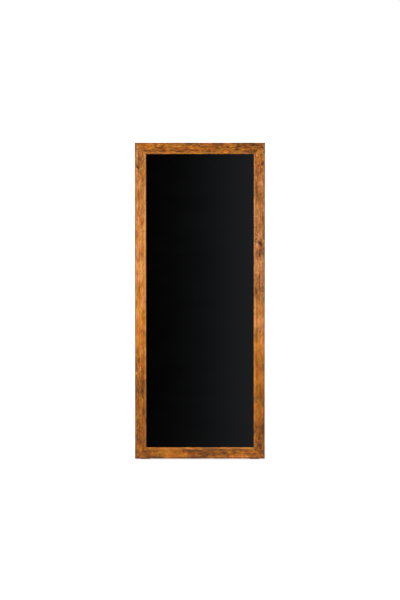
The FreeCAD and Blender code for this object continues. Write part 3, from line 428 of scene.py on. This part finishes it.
def tube_faces(stations, around):
    """Quads between neighbouring stations and points, wrapped round, and one face on each end."""
    row = np.arange(stations - 1)[:, None] * around
    here, there = np.arange(around)[None, :], (np.arange(around) + 1)[None, :] % around
    quads = np.stack([row + here, row + there, row + around + there, row + around + here], -1)
    last = (stations - 1) * around
    ends = [list(range(around))[::-1], list(range(last, last + around))]
    return quads.reshape(-1, 4).tolist() + ends


def volume(points, faces):
    """Sum over the faces, cut into triangles from their first corner, of a . (b x c) / 6."""
    total = 0.0
    for size in {len(face) for face in faces}:
        corners = points[np.array([face for face in faces if len(face) == size])]
        for i in range(1, size - 1):
            total += np.einsum("ij,ij->", corners[:, 0], np.cross(corners[:, i], corners[:, i + 1])) / 6
    return total


# Faces that meet at more than this angle keep a sharp edge between them.
SHARP = math.radians(40)


def build(name, points, faces, attributes, material):
    """A mesh object at the origin from points in the scene's axes, its attributes and material."""
    if volume(points, faces) < 0:
        faces = [face[::-1] for face in faces]
    mesh = bpy.data.meshes.new(name)
    mesh.from_pydata(points, [], faces)
    for key, values in attributes.items():
        vector = values.ndim == 3
        field = mesh.attributes.new(key, "FLOAT_VECTOR" if vector else "FLOAT", "POINT")
        field.data.foreach_set("vector" if vector else "value", values.astype(np.float32).ravel())
    mesh.polygons.foreach_set("use_smooth", np.ones(len(mesh.polygons), bool))
    mesh.set_sharp_from_angle(angle=SHARP)
    mesh.materials.append(material)
    piece = bpy.data.objects.new(name, mesh)
    bpy.context.scene.collection.objects.link(piece)
    return piece


def to_scene(points):
    """Board axes to scene axes: the matrix's turn, then its shift."""
    matrix = np.array(BOARD)
    return points.reshape(-1, 3) @ matrix[:3, :3].T + matrix[:3, 3]


middle = to_scene(np.array([0, 0, BOARD_HEIGHT / 2]))[0]
print("middle of the board's front, mm:", (1000 * middle).round(1))

# %% [markdown]
# ## Stained pine
#
# The wood is pine with an orange-brown stain and wax, rubbed back so that it looks old. Up close it is
# made of layers: growth rings a few millimetres apart, fibres finer than that, flecks where a scraper
# tore the soft wood between the rings, streaks of stain, the figure of rising grain, and patches where
# the stain sank in. Each becomes one wave or noise, drawn out along the grain, and their sum picks a
# colour from a ramp of stain shades.
#
# The rings are circles round X, with the tree's heart a few centimetres outside the plank. Fibres are
# really about 0.3 mm wide. They are drawn 1.4 mm wide, with finer ones among them, so that they show.

# %% The layers of the wood
RING_SPACING = 0.004
# Each noise: its scale along the grain (a scale of 0.05 draws it out 20 times), its width in metres,
# and its detail, roughness and distortion.
NOISES = {
    "fibres": (0.05, 0.0014, 5.0, 0.68, 0.0),
    "streaks": (0.12, 0.007, 3.0, 0.55, 0.0),
    "figure": (0.30, 0.014, 3.0, 0.50, 0.5),
    "flecks": (0.47, 0.007, 2.0, 0.60, 0.8),
    "patches": (0.45, 0.045, 2.0, 0.50, 0.0),
    "resin": (0.45, 0.020, 2.0, 0.50, 0.0),
    "specks": (0.45, 0.0035, 2.0, 0.60, 0.0),
    "smudges": (0.45, 0.028, 3.0, 0.60, 0.6),
}
# The shift that puts the tree's heart outside the plank, in metres.
HEART = (0.0, -0.045, 0.06)


def wood_layers(tree, place):
    """Each layer's value by name, from coordinates with X along the grain. A wave texture repeats every
    0.314 / scale, which turns the ring spacing into its scale."""
    drawn = add(tree, "Mapping", {"Vector": place, "Scale": (0.05, 1, 1), "Location": HEART}).outputs[0]
    layers = {"rings": add(tree, "TexWave", {
        "Vector": drawn, "Scale": 0.314 / RING_SPACING, "Distortion": 6.0, "Detail": 3.0,
        "Detail Scale": 0.3, "Detail Roughness": 0.55,
    }, wave_type="RINGS", rings_direction="X", wave_profile="SAW").outputs["Fac"]}
    for name, (along, width, detail, roughness, distortion) in NOISES.items():
        shift = HEART if name == "fibres" else (0, 0, 0)
        drawn = add(tree, "Mapping", {"Vector": place, "Scale": (along, 1, 1), "Location": shift})
        layers[name] = add(tree, "TexNoise", {
            "Vector": drawn.outputs[0], "Scale": 1 / width, "Detail": detail, "Roughness": roughness,
            "Distortion": distortion,
        }).outputs["Fac"]
    return layers


print("layers:", ["rings", *NOISES])

# %% [markdown]
# The layers are added up round the plank's own tone, and the sum is looked up in the ramp. Resin then
# turns the stain golden in some patches and red in others, and dusty wax takes some of the orange out.
# Last come the dark marks: fine specks where the pores hold old wax, and smudges of polish about
# 60 mm long.

# %% The colour of the stain
STAIN = [(0.0, "#3a1d03"), (0.28, "#693803"), (0.5, "#8c4c02"), (0.68, "#a75f10"),
         (0.84, "#bb712a"), (1.0, "#ce8842")]
WEIGHTS = {"rings": 0.20, "fibres": 0.50, "streaks": 0.50, "figure": 0.60, "patches": 0.60}
# Each mark: where its noise starts to show, where it is full, how much it covers, and its colour.
MARKS = {"specks": (0.60, 0.74, 0.40, "#381d02"), "smudges": (0.54, 0.72, 0.62, "#583304")}


def stain_colour(tree, layers, tone, lively, dusty, strength):
    """Ramp colour at tone + strength * weight * (layer - 0.5) summed over the layers, plus
    lively * (flecks - 0.5), then tinted by resin and dust and darkened by the marks."""
    level = tone
    weights = {name: strength * weight for name, weight in WEIGHTS.items()}
    for name, weight in {**weights, "flecks": lively}.items():
        centred = add(tree, "Math", {0: layers[name], 1: 0.5}, operation="SUBTRACT").outputs[0]
        level = add(tree, "Math", {0: centred, 1: weight, 2: level}, operation="MULTIPLY_ADD").outputs[0]
    shade = add(tree, "ValToRGB", {"Fac": level}, [(p, colour(c)) for p, c in STAIN]).outputs["Color"]
    hue = add(tree, "MapRange", {"Value": layers["resin"], "From Min": 0.3, "From Max": 0.7,
                                 "To Min": 0.490, "To Max": 0.513}).outputs[0]
    orange = add(tree, "MapRange", {"Value": dusty, "To Min": 1.095, "To Max": 0.93}).outputs[0]
    shade = add(tree, "HueSaturation", {"Color": shade, "Hue": hue, "Saturation": orange}).outputs[0]
    for name, (start, full, most, dark) in MARKS.items():
        cover = add(tree, "MapRange", {"Value": layers[name], "From Min": start, "From Max": full,
                                       "To Max": most}).outputs[0]
        shade = add(tree, "Mix", {0: cover, 6: shade, 7: colour(dark)}, data_type="RGBA").outputs[2]
    return shade


print("stain shades:", [code for _, code in STAIN])

# %% [markdown]
# A knot is a branch cut across. It has a dark, resinous edge, rings of its own, and a reddish halo
# where the stain sank into the turned grain. The stored distance in knot radii draws all three: the
# core below 1, the edge at 1, and the halo fading outside it. Along the edges that hands rub, the
# stain has worn through to paler wood, in broken stretches.

# %% Knots and worn edges
HALO_END = 2.6
# Radians of ring wave to one knot radius, which gives 3.5 rings.
KNOT_RINGS = 22.0


def knots_and_wear(tree, shade, height, streaks):
    """The shade and the height field with the knots and the worn edges drawn into them."""
    reach = add(tree, "Attribute", attribute_name="knot").outputs["Fac"]
    ragged = add(tree, "Math", {0: streaks, 1: 0.9, 2: reach}, operation="MULTIPLY_ADD").outputs[0]
    ragged = add(tree, "Math", {0: ragged, 1: 0.45}, operation="SUBTRACT").outputs[0]
    halo = add(tree, "MapRange", {"Value": ragged, "From Min": 0.9, "From Max": HALO_END,
                                  "To Min": 0.6, "To Max": 0.0}, interpolation_type="SMOOTHSTEP").outputs[0]
    shade = add(tree, "Mix", {0: halo, 6: shade, 7: colour("#743608")}, data_type="RGBA").outputs[2]
    year = add(tree, "Math", {0: ragged, 1: KNOT_RINGS}, operation="MULTIPLY").outputs[0]
    year = add(tree, "Math", {0: year}, operation="SINE").outputs[0]
    core = add(tree, "MapRange", {"Value": year, "From Min": -1.0, "From Max": 1.0}).outputs[0]
    core = add(tree, "Mix", {0: core, 6: colour("#361905"), 7: colour("#5c2d0a")},
               data_type="RGBA").outputs[2]
    inside = add(tree, "MapRange", {"Value": ragged, "From Min": 0.95, "From Max": 1.2,
                                    "To Min": 0.92, "To Max": 0.0}).outputs[0]
    shade = add(tree, "Mix", {0: inside, 6: shade, 7: core}, data_type="RGBA").outputs[2]
    wear = add(tree, "Attribute", attribute_name="wear").outputs["Fac"]
    broken = add(tree, "MapRange", {"Value": streaks, "From Min": 0.36, "From Max": 0.6,
                                    "To Max": 0.4}).outputs[0]
    wear = add(tree, "Math", {0: wear, 1: broken}, operation="MULTIPLY").outputs[0]
    shade = add(tree, "Mix", {0: wear, 6: shade, 7: colour("#cf8a48")}, data_type="RGBA").outputs[2]
    height = add(tree, "Math", {0: inside, 1: -1.2, 2: height}, operation="MULTIPLY_ADD").outputs[0]
    return shade, height


print("rings in a knot:", round(KNOT_RINGS / (2 * math.pi), 1), "and its halo ends at", HALO_END, "radii")

# %% [markdown]
# Now the whole material. A rebuilt member brings its own grain coordinates and its own tone. A CAD
# piece has neither, so its Object coordinates are turned until X runs along the grain, its tone is one
# number, and its layers are weaker, because plainer wood is kept for the back. Waxed wood has a soft,
# uneven shine, which follows the patches.

# %% The wood material
# How strong the layers and the flecks are, and how dusty the wax is, on a CAD piece.
PLAIN_STRENGTH, PLAIN_FLECKS, PLAIN_DUST = 0.8, 0.8, 0.6


def stained_pine(name, grain=None, tone=None):
    """Stained and waxed pine. grain is None for a member with its own coordinates, or a turn and a
    shift that bring a CAD piece's Object coordinates to X along the grain; tone is its paleness."""
    material, tree, shader = new_material(name)
    if grain:
        turned, shift = grain
        coords = add(tree, "TexCoord").outputs["Object"]
        place = add(tree, "Mapping", {"Vector": coords, "Rotation": turned, "Location": shift}).outputs[0]
        layers = wood_layers(tree, place)
        shade = stain_colour(tree, layers, tone, PLAIN_FLECKS, PLAIN_DUST, PLAIN_STRENGTH)
    else:
        layers = wood_layers(tree, add(tree, "Attribute", attribute_name="grain").outputs["Vector"])
        fields = [add(tree, "Attribute", attribute_name=key).outputs["Fac"]
                  for key in ("pale", "lively", "dusty")]
        shade = stain_colour(tree, layers, *fields, 1.0)
    height = add(tree, "Math", {0: layers["fibres"], 1: 0.6, 2: layers["rings"]},
                 operation="MULTIPLY_ADD").outputs[0]
    if not grain:
        shade, height = knots_and_wear(tree, shade, height, layers["streaks"])
    rough = add(tree, "MapRange", {"Value": layers["patches"], "From Min": 0.3, "From Max": 0.7,
                                   "To Min": 0.34, "To Max": 0.44}).outputs[0]
    bump = add(tree, "Bump", {"Height": height, "Strength": 0.2, "Distance": 0.0004}).outputs[0]
    tree.links.new(shade, shader.inputs["Base Color"])
    tree.links.new(rough, shader.inputs["Roughness"])
    tree.links.new(bump, shader.inputs["Normal"])
    shader.inputs["IOR"].default_value = 1.36
    return material


FRAME_PINE = stained_pine("stained_waxed_pine")
print("nodes in the frame's wood:", len(FRAME_PINE.node_tree.nodes))

# %% [markdown]
# ## The frame
#
# The four members share one material. Each is built, compared with the CAD piece that it stands for,
# and told to move with the board. The printed gap says how far the new piece's box is from the CAD
# piece's box, which should be a fraction of a millimetre, and always on the inside.

# %% Build the four members
for side, plank in PLANKS.items():
    half = (BOARD_HEIGHT if side.endswith("stile") else BOARD_WIDTH) / 2
    along, a, d = member_grid(half, plank)
    points = to_scene(lay(side, along, a, d))
    fields = member_attributes(along, a, d, half, plank)
    piece = build("worked_" + side, points, tube_faces(*along.shape), fields, FRAME_PINE)
    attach(piece, "board")
    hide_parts(side)
    low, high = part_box(side)
    inside = np.concatenate([points.min(0) - np.array(low), np.array(high) - points.max(0)]) * 1000
    print(piece.name, "points:", len(points), "gap to CAD box, mm:", np.round(inside, 2))

# %% [markdown]
# ## Wood of the beads and the prop
#
# These keep their CAD shapes. Their wood is the same stained pine, a little plainer, and each piece
# gets its own shift so that no two show the same grain. Rails run along X. Legs and side beads run up
# the board or the prop, so their coordinates are first turned back by the lean, and then a quarter
# turn about Y brings the length to X.

# %% Wood on the CAD pieces
def grain_of(lean, upright, number):
    """A turn that undoes the lean and lays the length along X, and a shift of the piece's own."""
    quarter = math.pi / 2 if upright else 0.0
    return (lean, quarter, 0.0), (0.61 * number, 0.013 * number, 0.021 * number)


def paint(name, material):
    """The CAD piece keeps its shape and gets the material."""
    mesh = nodes[name].data
    mesh.materials.clear()
    mesh.materials.append(material)


# Each piece: its name, its lean, whether it runs upwards, and its tone.
WOODEN = [
    ("hinge_rail", LEAN, False, 0.46), ("prop_top_rail", -PROP_LEAN, False, 0.44),
    ("prop_cross_rail", -PROP_LEAN, False, 0.5), ("left_leg", -PROP_LEAN, True, 0.5),
    ("right_leg", -PROP_LEAN, True, 0.46), ("left_bead", LEAN, True, 0.4),
    ("right_bead", LEAN, True, 0.44), ("top_bead", LEAN, False, 0.42), ("bottom_bead", LEAN, False, 0.38),
]
for number, (name, lean, upright, tone) in enumerate(WOODEN, start=1):
    paint(name, stained_pine("stained_pine_" + name, grain_of(lean, upright, number), tone))
print("wooden CAD pieces:", len(WOODEN))

# %% [markdown]
# ## Pale wood and fibreboard
#
# Dowels and mitre splines are raw beech: pale, hard and plain, with short flecks. The core of the
# panel is medium-density fibreboard, which has no grain, only a fine even mottle.

# %% Beech and fibreboard
def mottled(name, dark, light, size, stretch, roughness):
    """Two close colours mixed by one noise of the given size in metres, stretched along X."""
    material, tree, shader = new_material(name)
    coords = add(tree, "TexCoord").outputs["Object"]
    place = add(tree, "Mapping", {"Vector": coords, "Scale": (stretch, 1, 1)}).outputs[0]
    fleck = add(tree, "TexNoise", {"Vector": place, "Scale": 1 / size, "Detail": 4.0}).outputs["Fac"]
    shade = add(tree, "ValToRGB", {"Fac": fleck}, [(0.35, colour(dark)), (0.65, colour(light))])
    bump = add(tree, "Bump", {"Height": fleck, "Strength": 0.25, "Distance": 0.0002})
    tree.links.new(shade.outputs["Color"], shader.inputs["Base Color"])
    tree.links.new(bump.outputs[0], shader.inputs["Normal"])
    shader.inputs["Roughness"].default_value = roughness
    return material


BEECH = mottled("raw_beech", "#b98a5e", "#d2a97c", 0.002, 0.2, 0.6)
FIBREBOARD = mottled("fibreboard_edge", "#7d5f41", "#9a7a58", 0.0012, 1.0, 0.8)
print("made", BEECH.name, "and", FIBREBOARD.name)

# %% [markdown]
# ## The writing surface
#
# The panel is black laminate: a thin sheet pressed against a polished plate, so it is smooth and
# hard with a satin shine. It gives the eye a deep black where it reflects nothing and a soft grey
# where it reflects a light. The faint orange-peel of the press is about 2 mm across, and wiping it
# clean leaves long, faint changes in the shine, which show only where it reflects something. The
# backing sheet is the same product in a cheaper grade: brown-grey, matt and a little rougher.

# %% Laminates
def laminate(name, base, dust, gloss_low, gloss_high, peel):
    """Pressed laminate: a dark colour dusted by wiping marks 90 mm across, which also set its roughness
    between two values, and an orange-peel bump."""
    material, tree, shader = new_material(name)
    coords = add(tree, "TexCoord").outputs["Object"]
    wiped = add(tree, "Mapping", {"Vector": coords, "Scale": (0.35, 1, 1), "Rotation": (0, 0.5, 0)})
    wipe = add(tree, "TexNoise", {"Vector": wiped.outputs[0], "Scale": 1 / 0.09, "Detail": 4.0,
                                  "Roughness": 0.6}).outputs["Fac"]
    shade = add(tree, "ValToRGB", {"Fac": wipe}, [(0.35, colour(base)), (0.7, colour(dust))]).outputs[0]
    rough = add(tree, "MapRange", {"Value": wipe, "From Min": 0.3, "From Max": 0.7,
                                   "To Min": gloss_low, "To Max": gloss_high}).outputs[0]
    dimple = add(tree, "TexNoise", {"Vector": coords, "Scale": 1 / 0.002, "Detail": 1.0}).outputs["Fac"]
    bump = add(tree, "Bump", {"Height": dimple, "Strength": peel, "Distance": 0.00004}).outputs[0]
    tree.links.new(rough, shader.inputs["Roughness"])
    tree.links.new(bump, shader.inputs["Normal"])
    tree.links.new(shade, shader.inputs["Base Color"])
    shader.inputs["IOR"].default_value = 1.5
    return material


BLACK_LAMINATE = laminate("black_satin_laminate", "#010101", "#020202", 0.11, 0.15, 0.1)
BACKING_LAMINATE = laminate("backing_laminate", "#28231f", "#37312c", 0.42, 0.6, 0.6)
print("made a black laminate and a brown-grey backing laminate")

# %% [markdown]
# ## Metal, rubber and nylon
#
# The braces, brackets, stays and screws are steel with a thin zinc plating, which is grey, slightly
# blue and softly brushed. The hinges and their screws have a brass plating. Both are full metals, so
# their colour is in the reflection. The feet are moulded black rubber and the washers are nylon.

# %% Plated steel, rubber and nylon
def plated(name, base, worn, roughness):
    """Rolled and plated steel: brushing 0.4 mm wide drawn along X, and cloudy plating 20 mm across."""
    material, tree, shader = new_material(name)
    coords = add(tree, "TexCoord").outputs["Object"]
    drawn = add(tree, "Mapping", {"Vector": coords, "Scale": (0.06, 1, 1)}).outputs[0]
    brush = add(tree, "TexNoise", {"Vector": drawn, "Scale": 1 / 0.0004, "Detail": 2.0}).outputs["Fac"]
    cloud = add(tree, "TexNoise", {"Vector": coords, "Scale": 1 / 0.02, "Detail": 3.0}).outputs["Fac"]
    shade = add(tree, "ValToRGB", {"Fac": cloud}, [(0.35, colour(worn)), (0.62, colour(base))])
    rough = add(tree, "MapRange", {"Value": cloud, "From Min": 0.3, "From Max": 0.7,
                                   "To Min": roughness + 0.1, "To Max": roughness - 0.04}).outputs[0]
    bump = add(tree, "Bump", {"Height": brush, "Strength": 0.15, "Distance": 0.00005}).outputs[0]
    tree.links.new(shade.outputs["Color"], shader.inputs["Base Color"])
    tree.links.new(rough, shader.inputs["Roughness"])
    tree.links.new(bump, shader.inputs["Normal"])
    shader.inputs["Metallic"].default_value = 1.0
    return material


def moulded(name, base, roughness, grit):
    """Moulded rubber or nylon: one colour and a fine grain from the mould, grit metres across."""
    material, tree, shader = new_material(name)
    coords = add(tree, "TexCoord").outputs["Object"]
    grain = add(tree, "TexNoise", {"Vector": coords, "Scale": 1 / grit, "Detail": 2.0}).outputs["Fac"]
    pale = add(tree, "MapRange", {"Value": grain, "To Min": 0.85, "To Max": 1.15}).outputs[0]
    shade = add(tree, "HueSaturation", {"Color": colour(base), "Value": pale}).outputs[0]
    bump = add(tree, "Bump", {"Height": grain, "Strength": 0.3, "Distance": 0.0001}).outputs[0]
    tree.links.new(shade, shader.inputs["Base Color"])
    tree.links.new(bump, shader.inputs["Normal"])
    shader.inputs["Roughness"].default_value = roughness
    return material


ZINC = plated("zinc_plated_steel", "#b2b5b9", "#a3a7ab", 0.34)
BRASSED = plated("brass_plated_steel", "#c9a861", "#b8954f", 0.28)
RUBBER = moulded("moulded_black_rubber", "#1a1a1b", 0.8, 0.0006)
NYLON = moulded("moulded_nylon", "#d8d5cc", 0.45, 0.001)

SLOT_FINISH = {
    "beech": BEECH, "fibreboard": FIBREBOARD, "black_laminate": BLACK_LAMINATE,
    "backing_laminate": BACKING_LAMINATE, "zinc_steel": ZINC, "bright_steel": ZINC,
    "brassed_steel": BRASSED, "black_rubber": RUBBER, "nylon": NYLON,
}
finished = [entry for entry in frame["record"]["subparts"] if entry["material_slot"] in SLOT_FINISH]
for entry in finished:
    paint(entry["node"], SLOT_FINISH[entry["material_slot"]])
print("pieces finished by their slot:", len(finished))

# %% [markdown]
# ## Floor and dark card
#
# A large pale floor carries the object. It glows a little, as a sheet lit from below does, so that
# shadows on it stay faint. Black laminate shows whatever is in front of it, so a dark card stands
# behind the camera and a dark cloth lies in front of the board, where only reflections see them. The
# card fades to grey on the right, and the panel picks up that slow fade.

# %% Floor, card and cloth
def flat_sheet(name, width, height, centre, turned, material):
    """A rectangle of one face, centred and turned, that is part of the stage."""
    mesh = bpy.data.meshes.new(name)
    x, y = width / 2, height / 2
    mesh.from_pydata([(-x, -y, 0), (x, -y, 0), (x, y, 0), (-x, y, 0)], [], [(0, 1, 2, 3)])
    mesh.materials.append(material)
    sheet = bpy.data.objects.new(name, mesh)
    bpy.context.scene.collection.objects.link(sheet)
    sheet.location = centre
    sheet.rotation_euler = turned
    sheet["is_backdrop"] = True
    return sheet


paper, tree, shader = new_material("white_paper")
shader.inputs["Base Color"].default_value = colour("#c4c4c4")
shader.inputs["Emission Color"].default_value = colour("#ffffff")
shader.inputs["Emission Strength"].default_value = 0.55
shader.inputs["Roughness"].default_value = 0.9
shader.inputs["Specular IOR Level"].default_value = 0.0
flat_sheet("studio_floor", 120, 120, (0, 0, 0), (0, 0, 0), paper)

# The view is aimed just above the middle of the board's front, and looks down a little more than the
# board leans. TOWARDS points from the board to the camera.
AIM = BOARD @ Vector((0.0003, 0.0, BOARD_HEIGHT / 2 + 0.0041))
CAMERA_PITCH = math.radians(11.1)
TOWARDS = Vector((0, -math.cos(CAMERA_PITCH), math.sin(CAMERA_PITCH)))
CARD_DISTANCE, CAMERA_DISTANCE = 9.0, 6.0
# The card starts to glow at one X and is brightest from another on, in metres from its middle.
FADE_START, FADE_FULL, FADE_POWER, FADE_BRIGHT = -0.3, 0.75, 1.4, 0.42

grey_fade = bpy.data.materials.new("grey_fade_card")
grey_fade.use_nodes = True
tree = grey_fade.node_tree
tree.nodes.clear()
across = add(tree, "SeparateXYZ", {0: add(tree, "TexCoord").outputs["Object"]}).outputs["X"]
fade = add(tree, "MapRange", {"Value": across, "From Min": FADE_START, "From Max": FADE_FULL}).outputs[0]
fade = add(tree, "Math", {0: fade, 1: FADE_POWER}, operation="POWER").outputs[0]
fade = add(tree, "Math", {0: fade, 1: FADE_BRIGHT}, operation="MULTIPLY").outputs[0]
glow = add(tree, "Emission", {"Color": (0.95, 1.0, 1.09, 1), "Strength": fade}).outputs[0]
add(tree, "OutputMaterial", {"Surface": glow})

felt, tree, shader = new_material("black_cloth")
shader.inputs["Base Color"].default_value = colour("#050505")
shader.inputs["Specular IOR Level"].default_value = 0.0

facing = (math.pi / 2 - CAMERA_PITCH, 0, 0)
card = flat_sheet("dark_card", 30, 20, AIM + CARD_DISTANCE * TOWARDS, facing, grey_fade)
cloth = flat_sheet("dark_floor_cloth", 12, 9, (0, -5.2, 0.002), (0, 0, 0), felt)
for hidden in (card, cloth):
    hidden.visible_camera = False
    hidden.visible_diffuse = False
    hidden.visible_shadow = False
print("aim, mm:", [round(1000 * v) for v in AIM])

# %% [markdown]
# ## Light and camera
#
# An even white sky makes a plain studio. A wide soft light overhead keeps the floor bright, and a
# smaller one at the upper left gives the bevels a light and a dark side. The lamps themselves are kept
# out of reflections. The camera looks almost square on at the leaning board, from 6 m, with a long
# lens.

# %% Lights and camera
SKY_STRENGTH = 1.08
# Focal length and sensor width in millimetres.
LENS, SENSOR_WIDTH = 83.67, 36

scene = bpy.context.scene
scene.view_settings.view_transform = "Standard"
world = bpy.data.worlds.new("white_studio")
scene.world = world
world.use_nodes = True
world.node_tree.nodes["Background"].inputs["Color"].default_value = (1, 1, 1, 1)
world.node_tree.nodes["Background"].inputs["Strength"].default_value = SKY_STRENGTH


def softbox(name, place, target, size, power):
    """A square area light that faces its target, size in metres and power in watts."""
    light = bpy.data.lights.new(name, "AREA")
    light.shape = "SQUARE"
    light.size = size
    light.energy = power
    lamp = bpy.data.objects.new(name, light)
    lamp.visible_glossy = False
    lamp.location = place
    lamp.rotation_euler = (Vector(target) - Vector(place)).to_track_quat("-Z", "Y").to_euler()
    scene.collection.objects.link(lamp)


softbox("overhead_softbox", (0.0, 0.2, 4.5), (0, 0, 0), 3.5, 90)
softbox("left_softbox", (-2.6, -2.8, 3.0), (0, -0.1, 0.7), 1.6, 40)

lens = bpy.data.cameras.new("camera")
lens.lens = LENS
lens.sensor_width = SENSOR_WIDTH
camera = bpy.data.objects.new("camera", lens)
camera.location = AIM + CAMERA_DISTANCE * TOWARDS
camera.rotation_euler = (-TOWARDS).to_track_quat("-Z", "Y").to_euler()
scene.collection.objects.link(camera)
scene.camera = camera
print("camera at, m:", [round(v, 2) for v in camera.location])

# %% [markdown]
# ## Finish
#
# The size of what is shown is printed.

# %% Sizes and finish
low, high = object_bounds()
print("visual box, mm:", [round(1000 * (b - a), 1) for a, b in zip(low, high)])
